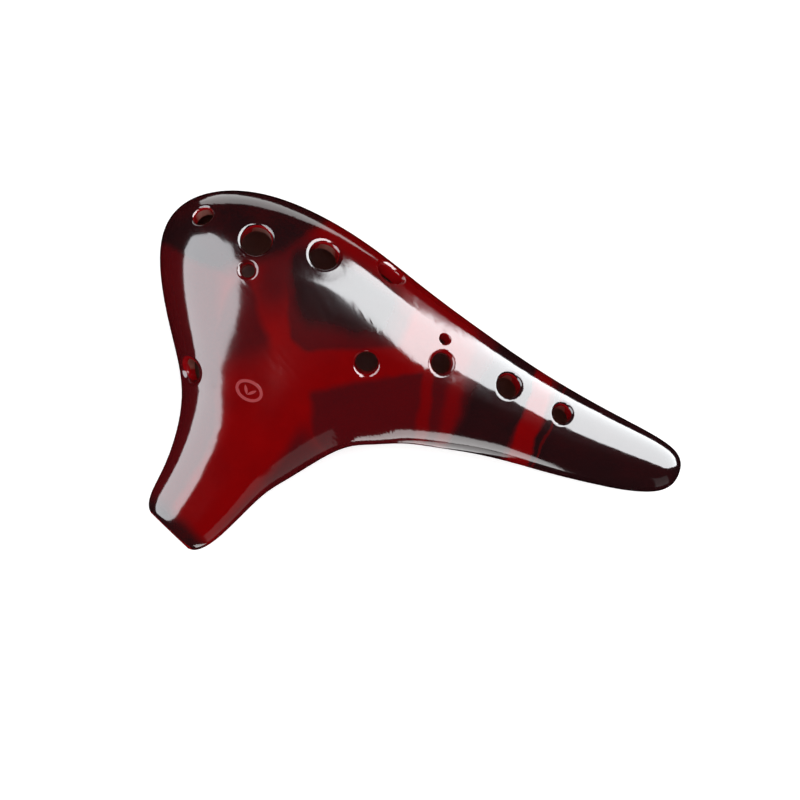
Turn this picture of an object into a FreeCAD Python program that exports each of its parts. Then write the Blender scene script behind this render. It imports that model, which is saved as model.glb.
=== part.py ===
"""Transverse ocarina with twelve tone holes, alto size, in glazed fired clay.

Frame: +X runs to the tail, -Y to the mouthpiece, +Z is the finger-hole face. The origin is on
the ground under the middle of the instrument, which lies on its belly. Millimetres throughout.

The outside is one closed skin. Its sections are upright planes that fan out round the hollow
between neck and tail: each one crosses the body from the inner edge to the outer edge.
"""
import FreeCAD, Part
import math
import os

from FreeCAD import Vector

# ---------------------------------------------------------------- sizes

SIZES = [
    ("overall_length", 172.0, "head to tail tip, along X"),
    ("overall_reach", 107.0, "far edge to mouthpiece end, along Y"),
    ("overall_depth", 44.0, "belly to finger-hole face, along Z"),
    ("chamber_wall", 4.4, "clay wall round the chamber"),
    ("neck_wall", 2.3, "clay wall at the mouthpiece end, round the block"),
    ("rim_round", 1.1, "radius on the rim of a finger hole"),
    ("thumb_round", 1.9, "softer radius on the rim of a thumb hole"),
    ("small_round", 0.5, "radius on the rim of a half-step hole"),
    ("windway_length", 31.0, "mouthpiece end to window"),
    ("windway_height", 1.7, "slot height at the window"),
    ("windway_width", 11.5, "slot width at the window"),
    ("entry_height", 2.6, "slot height at the lips"),
    ("entry_width", 12.4, "slot width at the lips"),
    ("entry_drop", 0.5, "slot's middle below the joint at the lips"),
    ("roof_ledge", 1.5, "how far the windway roof laps each side of the slot"),
    ("window_length", 5.6, "windway to labium edge"),
    ("ramp_length", 11.0, "labium edge to the end of its ramp"),
    ("labium_edge", 0.5, "thickness left at the labium's edge"),
    ("labium_root", 1.5, "clay of the labium piece behind its ramp"),
    ("coil_height", 4.0, "height of the clay bead pressed over the joint inside"),
    ("coil_thickness", 1.6, "how far the bead stands into the chamber"),
    ("overrun", 2.0, "how far a cut starts outside what it cuts"),
    ("mark_length", 8.6, "relief mark, long way"),
    ("mark_breadth", 6.2, "relief mark, short way"),
    ("mark_line", 0.9, "width of the mark's ring"),
    ("mark_relief", 0.35, "how far the mark stands up"),
]

# Each tone hole: bore, place along the body (0 at the mouthpiece, 1 at the tail tip) and place
# round it in degrees (0 outer edge, 90 finger-hole face, 180 inner edge, 270 belly).
TONE_HOLES = [
    ("left_little_hole", 6.2, 0.415, 33.5, "rim_round"),
    ("left_ring_hole", 9.2, 0.453, 57.0, "rim_round"),
    ("left_half_step_hole", 4.2, 0.418, 69.5, "rim_round"),
    ("left_middle_hole", 8.8, 0.524, 58.5, "rim_round"),
    ("left_index_hole", 8.4, 0.602, 37.5, "rim_round"),
    ("left_thumb_hole", 7.0, 0.243, 33.5, "thumb_round"),
    ("right_index_hole", 6.8, 0.521, 112.5, "rim_round"),
    ("right_middle_hole", 6.2, 0.652, 88.5, "rim_round"),
    ("right_half_step_hole", 3.3, 0.659, 67.5, "small_round"),
    ("right_ring_hole", 7.2, 0.734, 75.0, "rim_round"),
    ("right_little_hole", 5.8, 0.795, 73.5, "rim_round"),
    ("right_thumb_hole", 8.0, 0.585, 262.0, "thumb_round"),
]

MARK_ALONG, MARK_AROUND = 0.282, 93.0

# Sections of the body, from the mouthpiece to the tail tip, as drawn: outer edge, inner edge,
# depth, and lean, by which the outer side is fuller than the inner side.
STATIONS = [
    ((-10.4, -70.4), (3.4, -73.8), 9.5, 0.00),
    ((-12.6, -69.9), (5.6, -74.4), 13.2, 0.00),
    ((-14.6, -65.0), (10.1, -70.5), 14.4, 0.00),
    ((-14.0, -55.5), (14.7, -48.4), 19.0, 0.00),
    ((-19.5, -33.0), (19.0, -42.0), 27.0, 0.05),
    ((-35.0, -19.0), (25.5, -29.0), 36.0, 0.12),
    ((-53.5, 3.5), (30.5, -22.5), 42.0, 0.20),
    ((-49.5, 21.0), (35.5, -19.5), 45.0, 0.26),
    ((-29.5, 33.0), (40.0, -16.5), 45.0, 0.26),
    ((1.5, 34.4), (45.5, -13.0), 43.0, 0.20),
    ((25.5, 30.0), (53.5, -10.0), 39.0, 0.12),
    ((50.0, 27.4), (68.0, -4.1), 33.0, 0.05),
    ((73.0, 25.5), (87.0, 0.3), 26.5, 0.00),
    ((97.5, 26.0), (101.5, 4.8), 21.5, 0.00),
    ((111.5, 27.0), (112.5, 8.4), 17.5, 0.00),
    ((120.6, 25.3), (121.6, 14.0), 12.5, 0.00),
    ((121.0, 19.2), (121.0, 19.2), 0.0, 0.00),
]
# The first two stations lie in the plane of the mouthpiece end, so that the skin rounds into it.
MOUTH_STATION = 1
LAST_NECK_STATION = 4
LAST_CHAMBER_STATION = 14
COIL_FROM, COIL_TO = 3, 13

POLES_ROUND = 12
DEGREE = 3

doc = FreeCAD.newDocument("ocarina")
sheet = doc.addObject("Spreadsheet::Sheet", "sizes")


def write_row(row, alias, value, note):
    sheet.set(f"A{row}", alias)
    sheet.set(f"B{row}", str(value))
    sheet.set(f"C{row}", note)
    sheet.setAlias(f"B{row}", alias)


def fill_sheet():
    row = 1
    for alias, value, note in SIZES:
        write_row(row, alias, value, note)
        row += 1
    for name, bore, along, around, _rim in TONE_HOLES:
        write_row(row, f"{name}_bore", bore, "diameter")
        write_row(row + 1, f"{name}_along", along, "0 at the mouthpiece, 1 at the tail tip")
        write_row(row + 2, f"{name}_around", around, "degrees round the section")
        row += 3
    doc.recompute()


fill_sheet()


def size(alias):
    return float(sheet.get(alias))


# ---------------------------------------------------------------- the skin


def section_poles(station):
    """Poles of one section: an egg whose fat end is at the outer edge when it leans."""
    outer, inner, depth, lean = station
    middle = Vector((outer[0] + inner[0]) / 2, (outer[1] + inner[1]) / 2, 0)
    half = Vector((outer[0] - inner[0]) / 2, (outer[1] - inner[1]) / 2, 0)
    # a closed cubic through a ring of poles shrinks it by this share
    shrink = (2 + math.cos(2 * math.pi / POLES_ROUND)) / 3
    poles = []
    for k in range(POLES_ROUND):
        angle = 2 * math.pi * (k - 1) / POLES_ROUND
        across = math.cos(angle) / shrink
        up = math.sin(angle) * (1 + lean * math.cos(angle)) * depth / 2 / shrink
        poles.append(middle + half * across + Vector(0, 0, up))
    return poles


def skin_through(net):
    """Smooth surface over a net of poles: clamped along the body, closed round it."""
    inner_knots = len(net) - DEGREE - 1
    along_mults = [DEGREE + 1] + [1] * inner_knots + [DEGREE + 1]
    along_knots = [float(k) for k in range(len(along_mults))]
    round_knots = [float(k) for k in range(POLES_ROUND + 1)]
    surface = Part.BSplineSurface()
    surface.buildFromPolesMultsKnots(
        net, along_mults, [1] * (POLES_ROUND + 1), along_knots, round_knots,
        False, True, DEGREE, DEGREE,
    )
    return surface


def row_parameter(row, rows):
    """Parameter along the body where a row of poles pulls most."""
    last = rows - DEGREE
    near = [min(max(row - DEGREE + step, 0), last) for step in range(1, DEGREE + 1)]
    return sum(near) / DEGREE


def drawn_extent(net):
    """Box of the skin through a net, from a close grid of its points."""
    surface = skin_through(net)
    steps = 240
    rows = len(net) - DEGREE
    box = FreeCAD.BoundBox()
    for i in range(steps + 1):
        for j in range(2 * POLES_ROUND):
            box.add(surface.value(rows * i / steps, j / 2))
    return box


def fitted_net():
    """Poles of the outside, stretched to the overall sizes and set over the origin."""
    drawn = [section_poles(station) for station in STATIONS]
    box = drawn_extent(drawn)
    stretch = Vector(
        size("overall_length") / box.XLength,
        size("overall_reach") / box.YLength,
        size("overall_depth") / box.ZLength,
    )
    centre = box.Center
    net = []
    for ring in drawn:
        moved = [
            Vector(
                (pole.x - centre.x) * stretch.x,
                (pole.y - centre.y) * stretch.y,
                (pole.z - centre.z) * stretch.z + size("overall_depth") / 2,
            )
            for pole in ring
        ]
        net.append(moved)
    return net


OUTSIDE_NET = fitted_net()
OUTSIDE = skin_through(OUTSIDE_NET)
JOINT_LEVEL = size("overall_depth") / 2
ROWS = len(OUTSIDE_NET)


def ring_middle(ring):
    return sum(ring, Vector()) / len(ring)


def outward(parameter, around, middle):
    """Unit normal of the outside, away from the middle of the section."""
    normal = OUTSIDE.normal(parameter, around)
    point = OUTSIDE.value(parameter, around)
    if normal.dot(point - middle) < 0:
        normal = normal * -1
    return normal


def place_on_skin(along, degrees):
    """Point and outward normal at a share of the way along and an angle round."""
    parameter = along * (ROWS - DEGREE)
    around = POLES_ROUND * (degrees % 360) / 360
    row = min(range(ROWS), key=lambda k: abs(row_parameter(k, ROWS) - parameter))
    middle = ring_middle(OUTSIDE_NET[row])
    return OUTSIDE.value(parameter, around), outward(parameter, around, middle)


def net_inside(wall_of_row, rows):
    """Poles moved in from the outside by the wall of their row."""
    net = []
    for row in rows:
        ring = OUTSIDE_NET[row]
        middle = ring_middle(ring)
        parameter = row_parameter(row, ROWS)
        moved = []
        for k in range(POLES_ROUND):
            around = (k - 1) % POLES_ROUND
            normal = outward(parameter, around, middle)
            moved.append(ring[k] - normal * wall_of_row(row))
        net.append(moved)
    return net


def shrunk_ring(ring, wall):
    """Ring drawn in by a wall within its own upright plane."""
    middle = ring_middle(ring)
    half_width = (ring[1] - middle).Length
    half_depth = max(pole.z - middle.z for pole in ring)
    shrunk = []
    for pole in ring:
        level = Vector(pole.x - middle.x, pole.y - middle.y, 0) * (1 - wall / half_width)
        shrunk.append(middle + level + Vector(0, 0, (pole.z - middle.z) * (1 - wall / half_depth)))
    return shrunk


def mouth_direction():
    """Level direction out of the mouthpiece, square to its end."""
    outer, inner = OUTSIDE_NET[MOUTH_STATION][1], OUTSIDE_NET[MOUTH_STATION][1 + POLES_ROUND // 2]
    edge = (inner - outer).normalize()
    out = Vector(edge.y, -edge.x, 0)
    inside = ring_middle(OUTSIDE_NET[MOUTH_STATION + 1]) - ring_middle(OUTSIDE_NET[MOUTH_STATION])
    return out if out.dot(inside) < 0 else out * -1


MOUTH_OUT = mouth_direction()
MOUTH_MIDDLE = (OUTSIDE.value(0, 0) + OUTSIDE.value(0, POLES_ROUND / 2)) / 2


def wall_at(row):
    """Wall of a row: thin round the block, full from the chamber on."""
    share = (row - MOUTH_STATION) / (LAST_NECK_STATION - MOUTH_STATION)
    growth = size("chamber_wall") - size("neck_wall")
    return size("neck_wall") + growth * min(share, 1)


def hollow_net():
    """Poles of the hollow: open past the mouthpiece end, rounded off before the tail tip."""
    mouth = shrunk_ring(OUTSIDE_NET[MOUTH_STATION], size("neck_wall"))
    net = [[pole + MOUTH_OUT * size("overrun") for pole in mouth]]
    net += net_inside(wall_at, range(MOUTH_STATION + 1, LAST_CHAMBER_STATION + 1))
    net.append([ring_middle(net[-1])] * POLES_ROUND)
    return net


def closed_solid(net):
    """Solid of a skin whose first ring is flat and whose last ring is one point.

    The skin is two faces that meet at the joint level, like the two halves of the instrument.
    """
    surface = skin_through(net)
    last = len(net) - DEGREE
    faces = [
        surface.toShape(0, last, 0, POLES_ROUND / 2),
        surface.toShape(0, last, POLES_ROUND / 2, POLES_ROUND),
    ]
    start = surface.value(0, 0)
    end = surface.value(0, POLES_ROUND / 2)
    across = (end - start).normalize()
    rims = []
    for face in faces:
        for edge in face.Edges:
            first, final = edge.ParameterRange
            ends = [edge.valueAt(first) - start, edge.valueAt(final) - start]
            if all(abs(offset.dot(across.cross(Vector(0, 0, 1)))) < 1e-4 for offset in ends):
                if not edge.Degenerated:
                    rims.append(edge)
    cap = Part.Face(Part.Wire(Part.__sortEdges__(rims)))
    sewn = Part.Compound(faces + [cap])
    sewn.sewShape()
    return Part.makeSolid(sewn.Shells[0])


def raised_net(relief):
    """Poles of the outside, moved out by the height of a relief."""
    net = [list(ring) for ring in OUTSIDE_NET]
    net[2:-2] = net_inside(lambda row: -relief, range(2, ROWS - 2))
    return net


def oval(half_length, half_breadth):
    return Part.Wire(Part.Ellipse(Vector(), half_length, half_breadth).toShape())


def leaf(root, tip, bow):
    """Outline of a leaf: two arcs from its root to its tip."""
    middle = (root + tip) / 2
    side = Vector(0, 0, 1).cross(tip - root).normalize() * bow
    arcs = [Part.Arc(root, middle + side, tip), Part.Arc(tip, middle - side, root)]
    return Part.Wire([arc.toShape() for arc in arcs])


def mark_prisms():
    """A ring with two leaves in it, as upright prisms through the skin at the mark's place."""
    half_length, half_breadth = size("mark_length") / 2, size("mark_breadth") / 2
    line = size("mark_line")
    ring = Part.Face(oval(half_length, half_breadth)).cut(
        Part.Face(oval(half_length - line, half_breadth - line))
    ).Faces[0]
    inside = half_breadth - 2 * line
    leaves = [
        Part.Face(leaf(Vector(0, -inside, 0), Vector(side * inside * 1.5, inside * 0.8, 0), line / 2))
        for side in (-1, 1)
    ]
    point, normal = place_on_skin(MARK_ALONG, MARK_AROUND)
    tail_way = (Vector(1, 0, 0) - normal * normal.x).normalize()
    frame = FreeCAD.Rotation(tail_way, normal.cross(tail_way), normal, "XYZ")
    height = size("chamber_wall")
    prisms = []
    for face in [ring] + leaves:
        prism = face.extrude(Vector(0, 0, height))
        prism.Placement = FreeCAD.Placement(point - normal * height / 2, frame)
        prisms.append(prism)
    return Part.Compound(prisms)


def coil_along_joint():
    """Bead laid along the joint inside, down the outer side and down the inner side."""
    net = hollow_net()
    surface = skin_through(net)
    start, end = row_parameter(COIL_FROM, len(net)), row_parameter(COIL_TO, len(net))
    strips = []
    for side in (POLES_ROUND, POLES_ROUND / 2):
        middle = (start + end) / 2
        rise = abs(surface.value(middle, side + 0.5).z - surface.value(middle, side).z)
        half = 0.5 * size("coil_height") / 2 / rise
        strip = surface.toShape(start, end, side - half, side + half)
        within = ring_middle(net[COIL_FROM + 2]) - surface.value(middle, side)
        inwards = -1 if surface.normal(middle, side).dot(within) < 0 else 1
        bead = strip.makeOffsetShape(inwards * size("coil_thickness"), 0.001, fill=True)
        strips.append(bead if bead.Volume > 0 else bead.reversed())
    return Part.Compound(strips)


# ---------------------------------------------------------------- document helpers


def add_shape(name, shape):
    feature = doc.addObject("Part::Feature", name)
    feature.Shape = shape
    return feature


def add_box(name, corner, rotation, length, width, height):
    """Box whose sizes are sheet expressions or plain numbers."""
    box = doc.addObject("Part::Box", name)
    for label, value in (("Length", length), ("Width", width), ("Height", height)):
        if isinstance(value, str):
            box.setExpression(label, value)
        else:
            setattr(box, label, value)
    box.Placement = FreeCAD.Placement(corner, rotation)
    return box


def add_cut(name, base, tools):
    """Base less each tool in turn."""
    for count, tool in enumerate(tools, start=1):
        last = count == len(tools)
        cut = doc.addObject("Part::Cut", name if last else f"{name}_less_{tool.Name}")
        cut.Base = base
        cut.Tool = tool
        base = cut
    return base


def add_common(name, first, second):
    common = doc.addObject("Part::MultiCommon", name)
    common.Shapes = [first, second]
    return common


def label_piece(feature, node):
    feature.Label = node
    pieces.append((node, feature))


pieces = []

# ---------------------------------------------------------------- outside and hollow

form = add_shape("form", closed_solid(OUTSIDE_NET))
hollow = add_shape("hollow", closed_solid(hollow_net()))
doc.recompute()

reach = 2 * max(size("overall_length"), size("overall_reach"))
front_half_space = add_box(
    "front_half_space", Vector(-reach / 2, -reach / 2, JOINT_LEVEL), FreeCAD.Rotation(),
    reach, reach, "sizes.overall_depth",
)
back_half_space = add_box(
    "back_half_space",
    Vector(-reach / 2, -reach / 2, JOINT_LEVEL - size("overall_depth")), FreeCAD.Rotation(),
    reach, reach, "sizes.overall_depth",
)

# ---------------------------------------------------------------- windway and window


def belly_level(solid, point):
    """Lowest level of a solid on the upright line through a point."""
    line = Part.makeLine(Vector(point.x, point.y, -reach), Vector(point.x, point.y, reach))
    return solid.common(line).BoundBox.ZMin


def level_axis():
    """Level direction from the mouthpiece into the body, down the middle of the neck."""
    into = ring_middle(OUTSIDE_NET[LAST_NECK_STATION]) - MOUTH_MIDDLE
    return Vector(into.x, into.y, 0).normalize()


NECK_AXIS = level_axis()
SIDEWAYS = Vector(0, 0, 1).cross(NECK_AXIS)
lips_point = Vector(MOUTH_MIDDLE.x, MOUTH_MIDDLE.y, JOINT_LEVEL - size("entry_drop"))
edge_run = size("windway_length") + size("window_length")


def find_labium_point():
    """Point on the line from the lips that lies one edge thickness below the chamber's belly."""
    level_run = edge_run
    for _step in range(4):
        point = lips_point + NECK_AXIS * level_run
        point.z = belly_level(hollow.Shape, point) - size("labium_edge")
        level_run = math.sqrt(edge_run ** 2 - (lips_point.z - point.z) ** 2)
    return point


labium_point = find_labium_point()
airway = (labium_point - lips_point).normalize()
roofward = airway.cross(SIDEWAYS).normalize()
if roofward.z > 0:
    roofward = roofward * -1
faceward = roofward * -1
AIRWAY_FRAME = FreeCAD.Rotation(airway, faceward.cross(airway), faceward, "XYZ")
ACROSS = AIRWAY_FRAME.multVec(Vector(0, 1, 0))


def in_airway(ahead, across, up):
    """Point in the windway's own frame: ahead from the lips, across, and towards the face."""
    return lips_point + airway * ahead + ACROSS * across + faceward * up


slot_floor = -size("windway_height") / 2
windway = doc.addObject("Part::Wedge", "windway")
for label, expression in (
    ("Xmin", "-sizes.entry_width / 2"),
    ("Xmax", "sizes.entry_width / 2"),
    ("Zmin", "0"),
    ("Zmax", "sizes.entry_height"),
    ("X2min", "-sizes.windway_width / 2"),
    ("X2max", "sizes.windway_width / 2"),
    ("Z2min", "0"),
    ("Z2max", "sizes.windway_height"),
    ("Ymin", "0"),
    ("Ymax", "sizes.overrun + sizes.windway_length + sizes.window_length / 2"),
):
    windway.setExpression(label, expression)
windway.Placement = FreeCAD.Placement(
    in_airway(-size("overrun"), 0, slot_floor),
    FreeCAD.Rotation(ACROSS * -1, airway, faceward, "XYZ"),
)

depth_below = size("overall_depth") / 2
roof_half = size("windway_width") / 2 + size("roof_ledge")
# the end of the mouthpiece is slanted, so the roof's blank starts well outside it
roof_start = size("entry_width") / 2
roof_space = add_box(
    "roof_space",
    in_airway(-roof_start, -roof_half, slot_floor - depth_below), AIRWAY_FRAME,
    size("windway_length") + roof_start,
    "sizes.windway_width + 2 * sizes.roof_ledge",
    "sizes.overall_depth / 2",
)
labium_reach = size("ramp_length") + size("labium_root")
window_space = add_box(
    "window_space",
    in_airway(size("windway_length"), -size("windway_width") / 2, -depth_below), AIRWAY_FRAME,
    size("window_length") + labium_reach,
    "sizes.windway_width",
    "sizes.overall_depth",
)
labium_space = add_box(
    "labium_space",
    in_airway(edge_run, -size("windway_width") / 2, -depth_below), AIRWAY_FRAME,
    labium_reach,
    "sizes.windway_width",
    "sizes.overall_depth",
)
ramp_end = labium_point + NECK_AXIS * size("ramp_length")
ramp_end_point = Vector(ramp_end.x, ramp_end.y, belly_level(form.Shape, ramp_end))
ramp_line = (ramp_end_point - labium_point).normalize()
ramp_normal = ACROSS.cross(ramp_line).normalize()
if ramp_normal.z > 0:
    ramp_normal = ramp_normal * -1
RAMP_FRAME = FreeCAD.Rotation(ramp_line, ramp_normal.cross(ramp_line), ramp_normal, "XYZ")
ramp_cut = add_box(
    "ramp_cut",
    labium_point - ramp_line * reach / 4 - RAMP_FRAME.multVec(Vector(0, 1, 0)) * reach / 4,
    RAMP_FRAME, reach / 2, reach / 2, "sizes.overall_depth",
)
neck_space = add_box(
    "neck_space",
    in_airway(size("windway_length") - reach / 4, -reach / 4, -reach / 4), AIRWAY_FRAME,
    reach / 4, reach / 2, reach / 2,
)
mouth_across = Vector(0, 0, 1).cross(MOUTH_OUT)
mouth_space = add_box(
    "mouth_space",
    MOUTH_MIDDLE - mouth_across * reach / 4 - Vector(0, 0, reach / 4),
    FreeCAD.Rotation(MOUTH_OUT, mouth_across, Vector(0, 0, 1), "XYZ"),
    reach / 4, reach / 2, reach / 2,
)
doc.recompute()

# ---------------------------------------------------------------- tone holes


def add_bore(name, along, around):
    """Cylinder square to the skin, from outside it well into the chamber."""
    point, normal = place_on_skin(along, around)
    bore = doc.addObject("Part::Cylinder", name)
    bore.setExpression("Radius", f"sizes.{name}_bore / 2")
    bore.setExpression("Height", "sizes.chamber_wall * 3")
    start = point + normal * size("chamber_wall")
    bore.Placement = FreeCAD.Placement(start, FreeCAD.Rotation(Vector(0, 0, -1), normal))
    return bore, point, normal


front_bores, back_bores = [], []
rim_sizes = {}
for name, _bore, _along, _around, rim in TONE_HOLES:
    bore, point, normal = add_bore(name, size(f"{name}_along"), size(f"{name}_around"))
    rim_sizes[name] = (point, normal, size(f"{name}_bore") / 2, size(rim))
    if point.z > JOINT_LEVEL:
        front_bores.append(bore)
    else:
        back_bores.append(bore)


def rim_edges(shape, names):
    """Outer rim of each bore, with the radius that rounds it."""
    found = []
    for name in names:
        point, normal, radius, rounding = rim_sizes[name]
        for index, edge in enumerate(shape.Edges):
            if edge.Degenerated:
                continue
            first, last = edge.ParameterRange
            samples = [edge.valueAt(first + (last - first) * share) for share in (0.1, 0.4, 0.7)]
            near = True
            for sample in samples:
                offset = sample - point
                height = offset.dot(normal)
                away = (offset - normal * height).Length
                near = near and abs(away - radius) < 0.02 and abs(height) < radius / 2
            if near:
                found.append((index + 1, rounding, rounding))
    return found


def add_rounded(name, base, names):
    doc.recompute()
    rounded = doc.addObject("Part::Fillet", name)
    rounded.Base = base
    rounded.Edges = rim_edges(base.Shape, names)
    return rounded


# ---------------------------------------------------------------- pieces

front_half = add_common("front_half", form, front_half_space)
front_bored = add_cut("front_bored", front_half, [hollow] + front_bores)
front_shell = add_rounded("front_shell_form", front_bored, [bore.Name for bore in front_bores])
label_piece(front_shell, "front_shell")

back_half = add_common("back_half", form, back_half_space)
back_bored = add_cut(
    "back_bored", back_half, [hollow, roof_space, window_space, windway] + back_bores
)
back_shell = add_rounded("back_shell_form", back_bored, [bore.Name for bore in back_bores])
label_piece(back_shell, "back_shell")

neck_hollow = add_common("neck_hollow", hollow, neck_space)
windway_block = add_cut("windway_block_form", neck_hollow, [mouth_space, roof_space, windway])
label_piece(windway_block, "windway_block")

roof_blank = add_common("roof_blank", form, roof_space)
windway_roof = add_cut("windway_roof_form", roof_blank, [windway])
label_piece(windway_roof, "windway_roof")

labium_blank = add_common("labium_blank", form, labium_space)
labium_lower = add_common("labium_lower", labium_blank, back_half_space)
labium = add_cut("labium_form", labium_lower, [hollow, ramp_cut])
label_piece(labium, "labium")

coil_strips = add_shape("coil_strips", coil_along_joint())
seam_coil = add_cut("seam_coil_form", coil_strips, [neck_space])
label_piece(seam_coil, "seam_coil")

mark_blank = add_shape("mark_blank", mark_prisms())
raised_skin = add_shape("raised_skin", closed_solid(raised_net(size("mark_relief"))))
mark_raised = add_common("mark_raised", mark_blank, raised_skin)
mark_sprig = add_cut("mark_sprig_form", mark_raised, [form])
label_piece(mark_sprig, "mark_sprig")

# ---------------------------------------------------------------- export

doc.recompute()
faults = [item.Name for item in doc.Objects if {"Invalid", "Error"} & set(item.State)]
for node, feature in pieces:
    shape = feature.Shape
    if shape.isNull() or not shape.isValid():
        faults.append(node)
if faults:
    raise RuntimeError("these objects failed: " + ", ".join(faults))

os.makedirs("parts", exist_ok=True)
for node, feature in pieces:
    feature.Shape.exportStep(f"parts/{node}.step")
    shape = feature.Shape
    print(node, len(shape.Solids), "solid(s)", round(shape.Volume / 1000, 2), "cm3", shape.BoundBox)
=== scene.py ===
"""Looks of a transverse ocarina: clay under a deep red glaze with near-black smoke, in soft studio light."""
import math

import bpy
from mathutils import Matrix, Vector

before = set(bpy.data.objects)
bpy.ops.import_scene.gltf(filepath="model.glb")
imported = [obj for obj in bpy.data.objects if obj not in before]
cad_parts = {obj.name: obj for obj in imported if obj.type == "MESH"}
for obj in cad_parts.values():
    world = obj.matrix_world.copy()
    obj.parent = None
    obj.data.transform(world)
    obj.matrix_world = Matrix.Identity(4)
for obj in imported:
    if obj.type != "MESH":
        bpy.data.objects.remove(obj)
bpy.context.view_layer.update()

scene = bpy.context.scene

# ---------------------------------------------------------------- camera

TILT = math.radians(6.0)
TURN = math.radians(30.0)
CAMERA_DISTANCE = 0.9
FIELD_WIDTH = 0.24144
SENSOR_WIDTH = 36.0  # in millimetres, as a camera has it
AIM = Vector((0.00165, 0.01704, 0.022))


def set_camera():
    """Above the finger holes, a little to the player's side, turned so that the tail points down."""
    tail_way = Vector((1, 0, 0))
    far_way = Vector((0, math.cos(TILT), math.sin(TILT)))
    right = tail_way * math.cos(TURN) + far_way * math.sin(TURN)
    up = far_way * math.cos(TURN) - tail_way * math.sin(TURN)
    back = right.cross(up)
    data = bpy.data.cameras.new("over the finger holes")
    data.sensor_width = SENSOR_WIDTH
    data.lens = SENSOR_WIDTH * CAMERA_DISTANCE / FIELD_WIDTH
    camera = bpy.data.objects.new("over the finger holes", data)
    turned = Matrix((right, up, back)).transposed().to_4x4()
    camera.matrix_world = Matrix.Translation(AIM + back * CAMERA_DISTANCE) @ turned
    scene.collection.objects.link(camera)
    scene.camera = camera


set_camera()
scene.view_settings.view_transform = "Standard"

# ---------------------------------------------------------------- shader maths


class Share:
    """One number over a surface. Python's operators on it add Math nodes."""

    def __init__(self, pot, socket):
        self.pot = pot
        self.socket = socket

    def maths(self, operation, *others):
        return self.pot.maths(operation, self, *others)

    def __add__(self, other):
        return self.pot.maths("ADD", self, other)

    def __sub__(self, other):
        return self.pot.maths("SUBTRACT", self, other)

    def __rsub__(self, other):
        return self.pot.maths("SUBTRACT", other, self)

    def __mul__(self, other):
        return self.pot.maths("MULTIPLY", self, other)

    def __abs__(self):
        return self.pot.maths("ABSOLUTE", self)

    __radd__ = __add__
    __rmul__ = __mul__

    def clamped(self):
        return self.pot.node(
            "ShaderNodeMapRange", {"clamp": True}, {"Value": self}, "Result"
        )

    def faded(self, start, end):
        """0 before start and 1 after end, with a soft turn at both."""
        return self.pot.node(
            "ShaderNodeMapRange",
            {"interpolation_type": "SMOOTHSTEP"},
            {"Value": self, "From Min": start, "From Max": end},
            "Result",
        )


class Pot:
    """A pot of glaze or clay: one material, and the ways of adding to it."""

    def __init__(self, name):
        self.material = bpy.data.materials.new(name)
        self.material.use_nodes = True
        self.tree = self.material.node_tree
        self.coat = self.tree.nodes["Principled BSDF"]

    def node(self, kind, settings, inputs, output=0):
        """Any node: its settings first, then the values or links of its sockets."""
        made = self.tree.nodes.new(kind)
        for setting, value in settings.items():
            setattr(made, setting, value)
        for name, value in inputs.items():
            self.feed(made.inputs[name], value)
        return Share(self, made.outputs[output])

    def feed(self, socket, value):
        if isinstance(value, Share):
            self.tree.links.new(value.socket, socket)
        elif isinstance(value, tuple) and len(value) == 3 and socket.type == "RGBA":
            socket.default_value = (*value, 1)
        else:
            socket.default_value = value

    def maths(self, operation, *values):
        return self.node("ShaderNodeMath", {"operation": operation}, dict(enumerate(values)))

    def vectors(self, operation, first, second=None):
        inputs = {0: first} if second is None else {0: first, 1: second}
        return self.node("ShaderNodeVectorMath", {"operation": operation}, inputs)

    def product(self, first, second):
        """Dot product of two vectors."""
        return self.node(
            "ShaderNodeVectorMath", {"operation": "DOT_PRODUCT"}, {0: first, 1: second}, "Value"
        )

    def mixed(self, share, under, over):
        """Colour under, covered by colour over as far as share goes."""
        return self.node(
            "ShaderNodeMix", {"data_type": "RGBA"}, {0: share, 6: under, 7: over}, 2
        )

    def place(self):
        """Where a spot is on the instrument, in millimetres: a vector and its three numbers."""
        spot = self.node("ShaderNodeTexCoord", {}, {}, "Object")
        spot = self.node(
            "ShaderNodeVectorMath", {"operation": "SCALE"}, {0: spot, "Scale": 1000.0}
        )
        parts = self.node("ShaderNodeSeparateXYZ", {}, {0: spot}).socket.node
        return spot, [Share(self, socket) for socket in parts.outputs]

    def cloud(self, spot, size, detail=2.0, roughness=0.5, offset=0.0):
        """Soft noise, 0 to 1, whose clouds are about size millimetres across."""
        moved = self.node(
            "ShaderNodeVectorMath", {"operation": "ADD"}, {0: spot, 1: (offset, offset, offset)}
        )
        return self.node(
            "ShaderNodeTexNoise",
            {},
            {"Vector": moved, "Scale": 1 / size, "Detail": detail, "Roughness": roughness},
            "Fac",
        )


# ---------------------------------------------------------------- the instrument, in millimetres

MIDDLE_LEVEL = 22.0
CHAMBER_SPINE = ((-58, 22), (80, 34))
NECK_SPINE = ((-36, -60), (-40, 0))
NECK_START = 0.0
MOUTH_WAY = (-0.24, -0.97, 0.0)

# ---------------------------------------------------------------- flame glaze

RED_LOW = (0.150, 0.0004, 0.0012)
RED_HIGH = (0.225, 0.0004, 0.0010)
# Dark maroon is smoke in the glaze, and on the flanks of head and neck also painted shade.
DARK_MAROON = (0.060, 0.0032, 0.0048)
NEAR_BLACK = (0.0145, 0.0042, 0.0050)
HOLE_RED = (0.24, 0.002, 0.004)
INNER_CLAY = (0.20, 0.055, 0.038)
SPECK_ROSE = (0.75, 0.45, 0.45)
# Rose on the mark: glaze broken over the relief, and partly a painted highlight for its bright edges.
RELIEF_ROSE = (0.52, 0.10, 0.11)

GLAZE_ROUGHNESS = 0.10
INNER_ROUGHNESS = 0.6
GLAZE_INDEX = 1.5
EDGE_WANDER = 4.0  # how far the edges of the patches wander, in millimetres
WANDER_SIZE = 11
DRIFT_SIZE = 14
GRAIN_SIZE = 0.7
RIPPLE_SIZE = 1.6
RIPPLE_HEIGHT = 0.0000055  # in metres
SPECK_SPACING = 22.0

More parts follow.
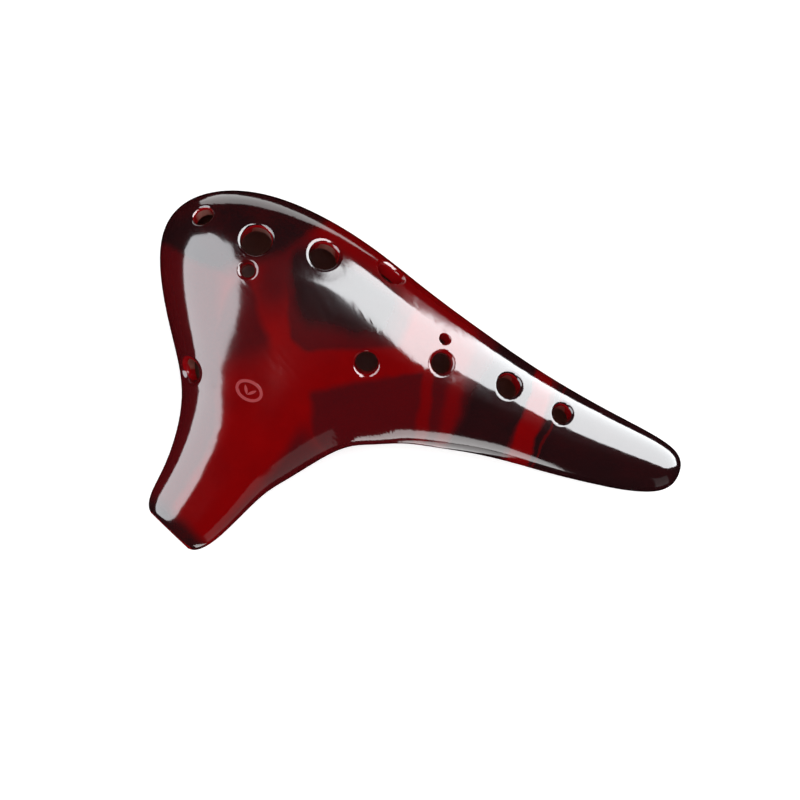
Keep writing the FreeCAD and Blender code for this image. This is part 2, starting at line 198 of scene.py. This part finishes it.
# Patches of soot, as near-black glaze, seen from the finger-hole side: corners in millimetres,
# anticlockwise, each with the softness of the side that starts there.
SOOT_PATCHES = [
    # the head end, as far as the first big hole
    [(-95, 21, 3), (-62, 21, 8), (-52.5, 31, 5), (-46.5, 43, 5), (-43, 58, 4), (-95, 58, 4)],
    # the wedge that points from the middle hole to the middle of the face
    [(-48, 38, 3), (-43, 27, 5), (-35, 20, 7), (-22, 23, 8), (-10, 29, 6), (-14, 42, 8),
     (-42, 44, 5)],
    # before the lowest holes
    [(18.0, 60, 5), (20.5, 0, 5), (38.5, 0, 2), (32.5, 60, 2)],
    # the tail
    [(39.0, 60, 2), (45.5, 0, 3), (95, 0, 4), (95, 60, 4)],
    # the mouthpiece end
    [(-60, -42.0, 4), (-60, -60, 4), (-15, -70, 4), (-15, -52.5, 5)],
]
# Patches of thinner smoke, as maroon glaze; the two on the flanks of head and neck are partly painted shade.
SMOKE_AND_SHADE_PATCHES = [
    # round the wedge
    [(-52, 39, 2), (-46, 28, 2), (-36, 14.5, 2), (-29, 13.5, 2), (-7, 28.5, 3), (-8, 40, 8),
     (-47, 45, 4)],
    # the hollow between neck and tail
    [(-24.5, 6.5, 3), (-14, -8, 6), (0, -12, 6), (30, -6, 2.5), (3.5, 26.5, 3), (0.5, 24, 2.5)],
    # down the front of the tail, under the highlight and above it
    [(3.5, 25.5, 2), (17, -3, 3), (95, 0, 3), (95, 33, 3), (10, 33, 3)],
    [(12, 60, 6), (12, 30, 3), (95, 30, 3), (95, 60, 3)],
    # beside the mark
    [(-58, 25, 5), (-57, -6, 14), (-43, 0, 12), (-38.5, 8, 4), (-50.5, 21.5, 3)],
    # the outer side of head and neck: smoke, with painted shade where the flank turns away
    [(-98, 24, 5), (-90, -60, 5), (-40.5, -60, 3), (-40.5, -20, 4), (-50, 2, 8), (-64, 24, 6)],
    # the inner side of the neck: smoke, with painted shade where the flank turns away
    [(-19.5, -6, 5), (-26, -60, 5), (0, -60, 5), (0, -6, 9)],
    # between the head and the wedge
    [(-57, 42, 12), (-55, 24, 14), (-47, 16, 14), (-40, 24, 12), (-44, 40, 10)],
]
# Bands of clear red across the smoke: start, end, half breadth, softness and strength.
CLEAR_BANDS = [
    ((5.9, 24.0), (11.2, 12.0), 1.7, 1.8, 0.7),
    ((14.0, 28.0), (17.0, 18.0), 2.3, 3.4, 0.55),
    ((36.0, 42.0), (41.6, 18.0), 3.1, 1.4, 0.85),
    ((43.6, 38.0), (45.6, 20.0), 0.35, 0.6, 0.5),
]


def soft_patch_share(x, y, corners):
    """Share of a patch with straight soft sides, its corners anticlockwise as (x, y, softness)."""
    share = 1.0
    count = len(corners)
    for k in range(count):
        ax, ay, soft = corners[k]
        bx, by, _ = corners[(k + 1) % count]
        length = math.hypot(bx - ax, by - ay)
        nx, ny = (ay - by) / length, (bx - ax) / length
        depth = x * nx + y * ny - (ax * nx + ay * ny)
        share = depth.faded(-soft / 2, soft / 2) * share
    return share


def clear_band(x, y, start, end, half, soft):
    """Share of a red band along the line from start to end."""
    length = math.hypot(end[0] - start[0], end[1] - start[1])
    nx, ny = (end[1] - start[1]) / length, (start[0] - end[0]) / length
    away = abs(x * nx + y * ny - (start[0] * nx + start[1] * ny))
    return 1 - away.faded(half - soft / 2, half + soft / 2)


def way_out(pot, spot, normal, spine):
    """How far a face looks away from the body's middle line: 1 outside, 0 in a hole, -1 inside."""
    (ax, ay), (bx, by) = spine
    length = math.hypot(bx - ax, by - ay)
    way = ((bx - ax) / length, (by - ay) / length, 0)
    start = (ax, ay, MIDDLE_LEVEL)
    offset = pot.vectors("SUBTRACT", spot, start)
    along = pot.product(offset, way).maths("MAXIMUM", 0.0).maths("MINIMUM", length)
    nearest = pot.node(
        "ShaderNodeVectorMath", {"operation": "SCALE"}, {0: way, "Scale": along}
    )
    outward = pot.vectors("NORMALIZE", pot.vectors("SUBTRACT", offset, nearest))
    return pot.product(outward, normal)


def flame_glaze(name, relief=0.0):
    """Red glaze under soot and smoke, with bare clay inside; the smoke on the flanks of head and neck is
    partly painted shade. Relief is how far a mark is mixed to a lighter rose: glaze broken over the relief,
    and painted highlight for its bright edges.
    """
    pot = Pot(name)
    spot, (x, y, _z) = pot.place()
    px = x + (pot.cloud(spot, WANDER_SIZE, 3) - 0.5) * EDGE_WANDER
    py = y + (pot.cloud(spot, WANDER_SIZE, 3, offset=40) - 0.5) * EDGE_WANDER
    soot = 0.0
    for patch in SOOT_PATCHES:
        soot = pot.maths("MAXIMUM", soft_patch_share(px, py, patch), soot)
    smoke_and_shade = 0.0
    for patch in SMOKE_AND_SHADE_PATCHES:
        smoke_and_shade = pot.maths("MAXIMUM", soft_patch_share(px, py, patch), smoke_and_shade)
    clear = 0.0
    for start, end, half, soft, strength in CLEAR_BANDS:
        band = clear_band(px, py, start, end, half, soft) * strength
        clear = pot.maths("MAXIMUM", band, clear)
    grain = pot.cloud(spot, GRAIN_SIZE, 3, 0.7) - 0.5
    drift = pot.cloud(spot, DRIFT_SIZE, 4, 0.6, offset=9)
    soot = (soot * (0.74 + drift * 0.4 + grain * 0.3)).clamped() * (1 - clear)
    smoke_and_shade = (smoke_and_shade * (0.7 + drift * 0.4 + grain * 0.3)).clamped() * (1 - clear)
    red = pot.mixed((drift * 1.5 + grain * 0.4 - 0.35).clamped(), RED_LOW, RED_HIGH)
    # Maroon for the smoke; on the flanks of head and neck it is partly painted shade.
    colour = pot.mixed(smoke_and_shade, red, DARK_MAROON)
    colour = pot.mixed(soot, colour, NEAR_BLACK)

    normal = pot.node("ShaderNodeNewGeometry", {}, {}, "Normal")
    chamber = way_out(pot, spot, normal, CHAMBER_SPINE)
    neck = way_out(pot, spot, normal, NECK_SPINE)
    in_neck = 1 - y.faded(NECK_START - 2.0, NECK_START + 2.0)
    outward = chamber * (1 - in_neck) + neck * in_neck
    in_hole = 1 - outward.faded(0.30, 0.45)
    inside = 1 - outward.faded(-0.5, -0.3)
    mouth_face = pot.product(normal, MOUTH_WAY).faded(0.85, 0.95)
    colour = pot.mixed(pot.maths("MAXIMUM", in_hole, mouth_face), colour, HOLE_RED)
    colour = pot.mixed(inside, colour, INNER_CLAY)
    # The whole mark is mixed toward a lighter rose: broken glaze and painted highlight together.
    if relief:
        colour = pot.mixed(relief, colour, RELIEF_ROSE)
    specks = 1 - pot.node(
        "ShaderNodeTexVoronoi", {}, {"Vector": spot, "Scale": 1 / SPECK_SPACING}, "Distance"
    ).faded(0.008, 0.014)
    colour = pot.mixed(specks * 0.8, colour, SPECK_ROSE)
    pot.feed(pot.coat.inputs["Base Color"], colour)
    pot.feed(pot.coat.inputs["Roughness"], GLAZE_ROUGHNESS + grain * 0.05 + inside * INNER_ROUGHNESS)
    ripple = pot.cloud(spot, RIPPLE_SIZE, 2, 0.5, offset=70)
    pot.feed(pot.coat.inputs["Normal"], pot.node(
        "ShaderNodeBump", {}, {"Height": ripple, "Strength": 1.0, "Distance": RIPPLE_HEIGHT}, "Normal"
    ))
    pot.coat.inputs["IOR"].default_value = GLAZE_INDEX
    return pot.material


def bare_clay():
    """Matt dark clay that no glaze reached."""
    pot = Pot("bare clay")
    spot, _ = pot.place()
    grain = pot.cloud(spot, 0.6, 4, 0.7)
    pot.feed(pot.coat.inputs["Base Color"], pot.mixed(grain, (0.05, 0.015, 0.01), (0.12, 0.04, 0.025)))
    pot.coat.inputs["Roughness"].default_value = 0.85
    return pot.material


glaze = flame_glaze("flame glaze")
# The mark's glaze is a lighter rose, partly a painted highlight for the edges of the relief.
mark_glaze = flame_glaze("flame glaze over the mark", relief=0.55)
clay = bare_clay()
FINISHES = {"windway_block": clay, "seam_coil": clay, "mark_sprig": mark_glaze}
for name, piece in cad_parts.items():
    piece.data.materials.clear()
    piece.data.materials.append(FINISHES.get(name, glaze))


MARK_EDGE = 0.00022


def soften_mark():
    """The glaze rounds the edges of the relief."""
    round_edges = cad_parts["mark_sprig"].modifiers.new("rounded by the glaze", "BEVEL")
    round_edges.width = MARK_EDGE
    round_edges.segments = 3
    round_edges.limit_method = "ANGLE"


soften_mark()

# ---------------------------------------------------------------- floor and light

FLOOR_SIDE = 6
FLOOR_GLOW = 0.55
ROOM_LIGHT = 0.45


def pale_floor():
    """Pale surface that the instrument lies on, bright enough to keep its shadow faint."""
    bpy.ops.mesh.primitive_plane_add(size=FLOOR_SIDE)
    floor = bpy.context.object
    floor.name = "pale floor"
    pot = Pot("pale floor")
    pot.coat.inputs["Base Color"].default_value = (0.9, 0.9, 0.9, 1)
    pot.coat.inputs["Roughness"].default_value = 0.8
    pot.coat.inputs["Specular IOR Level"].default_value = 0.0
    pot.coat.inputs["Emission Color"].default_value = (1, 1, 1, 1)
    pot.coat.inputs["Emission Strength"].default_value = FLOOR_GLOW
    floor.data.materials.append(pot.material)
    floor.visible_glossy = False


pale_floor()


def soft_card(name, shine, tint, corners):
    """Bright card with any outline. Only the gloss of the glaze sees it."""
    mesh = bpy.data.meshes.new(name)
    mesh.from_pydata(corners, [], [list(range(len(corners)))])
    card = bpy.data.objects.new(name, mesh)
    scene.collection.objects.link(card)
    pot = Pot(name)
    pot.coat.inputs["Base Color"].default_value = (0, 0, 0, 1)
    pot.coat.inputs["Specular IOR Level"].default_value = 0.0
    pot.coat.inputs["Emission Color"].default_value = (*tint, 1)
    pot.coat.inputs["Emission Strength"].default_value = shine
    mesh.materials.append(pot.material)
    card.visible_camera = False
    card.visible_diffuse = False
    card.visible_shadow = False


def overhead_fill(side, height, power):
    """Wide light above, which the gloss of the glaze doesn't see."""
    data = bpy.data.lights.new("overhead fill", "AREA")
    data.size = side
    data.energy = power
    lamp = bpy.data.objects.new("overhead fill", data)
    lamp.location = (0, 0, height)
    lamp.visible_camera = False
    lamp.visible_glossy = False
    scene.collection.objects.link(lamp)


def at_level(height, places):
    """Corners of a level card, from their (x, y)."""
    return [(x, y, height) for x, y in places]


COOL = (0.95, 0.98, 1.0)
GREYISH = (0.93, 0.96, 1.0)
WHITE = (1, 1, 1)
CEILING = 0.78
UNDER_FLOOR = -0.002

soft_card(
    "far softbox", 18, COOL,
    [(0.75, 0.5, -0.07), (0.75, 0.2, CEILING), (0.08, 0.2, CEILING), (0.08, 0.5, -0.07)],
)
soft_card(
    "far softbox, inner end", 18, COOL,
    [(0.08, 0.42, 0.16), (0.08, 0.2, CEILING), (-0.05, 0.2, CEILING), (-0.02, 0.42, 0.16)],
)
soft_card(
    "far softbox, top", 18, COOL,
    at_level(CEILING, [
        (0.225, 0.2), (0.222, 0.05), (0.218, -0.10), (0.20, -0.135), (0.165, -0.115),
        (0.12, -0.045), (0.072, 0.04), (0.02, 0.16), (-0.03, 0.2),
    ]),
)
soft_card(
    "left softbox", 10, GREYISH,
    [(-0.61, 0.07, 0.24), (-0.50, -0.42, 0.05), (-0.365, -0.465, 0.46), (-0.325, -0.40, 0.53),
     (-0.265, -0.315, 0.615), (-0.195, -0.21, 0.685), (-0.195, -0.135, 0.70),
     (-0.245, -0.05, 0.70), (-0.33, 0.11, 0.665), (-0.42, 0.22, 0.585), (-0.55, 0.24, 0.46)],
)
soft_card(
    "glow beyond the head", 2.6, WHITE,
    at_level(UNDER_FLOOR, [
        (-0.098, 0.072), (-0.092, 0.088), (-0.084, 0.098), (-0.072, 0.106), (-0.060, 0.112),
        (-0.048, 0.114), (-0.036, 0.112), (-0.020, 0.110), (-0.027, 0.128), (-0.044, 0.146),
        (-0.057, 0.173), (-0.080, 0.227), (-0.105, 0.258), (-0.20, 0.40), (-0.30, 0.29),
        (-0.150, 0.090), (-0.12, 0.07),
    ]),
)
soft_card(
    "glow before the hollow", 5, WHITE,
    [(0.066, -0.178, 0.0), (0.10, -0.17, 0.022), (0.110, -0.165, 0.004), (0.118, -0.155, -0.01),
     (0.120, -0.13, -0.07), (0.066, -0.16, -0.07)],
)
soft_card(
    "glow under the hollow", 2, WHITE,
    at_level(UNDER_FLOOR, [
        (0.016, -0.006), (0.024, 0.003), (0.036, 0.002), (0.047, -0.006), (0.056, -0.025),
        (0.045, -0.03), (0.035, -0.027), (0.024, -0.018),
    ]),
)
soft_card(
    "faint glow beside the neck", 0.45, WHITE,
    [(0.38, -0.26, -0.18), (0.445, -0.085, -0.155), (0.445, -0.06, 0.195), (0.38, -0.26, 0.22)],
)
overhead_fill(side=1.2, height=1.5, power=15)


def soft_room():
    """Even white light from all round, which the gloss of the glaze doesn't see."""
    room = bpy.data.worlds.new("soft room")
    room.use_nodes = True
    light = room.node_tree.nodes["Background"]
    light.inputs["Color"].default_value = (1, 1, 1, 1)
    light.inputs["Strength"].default_value = ROOM_LIGHT
    room.cycles_visibility.glossy = False
    scene.world = room


soft_room()
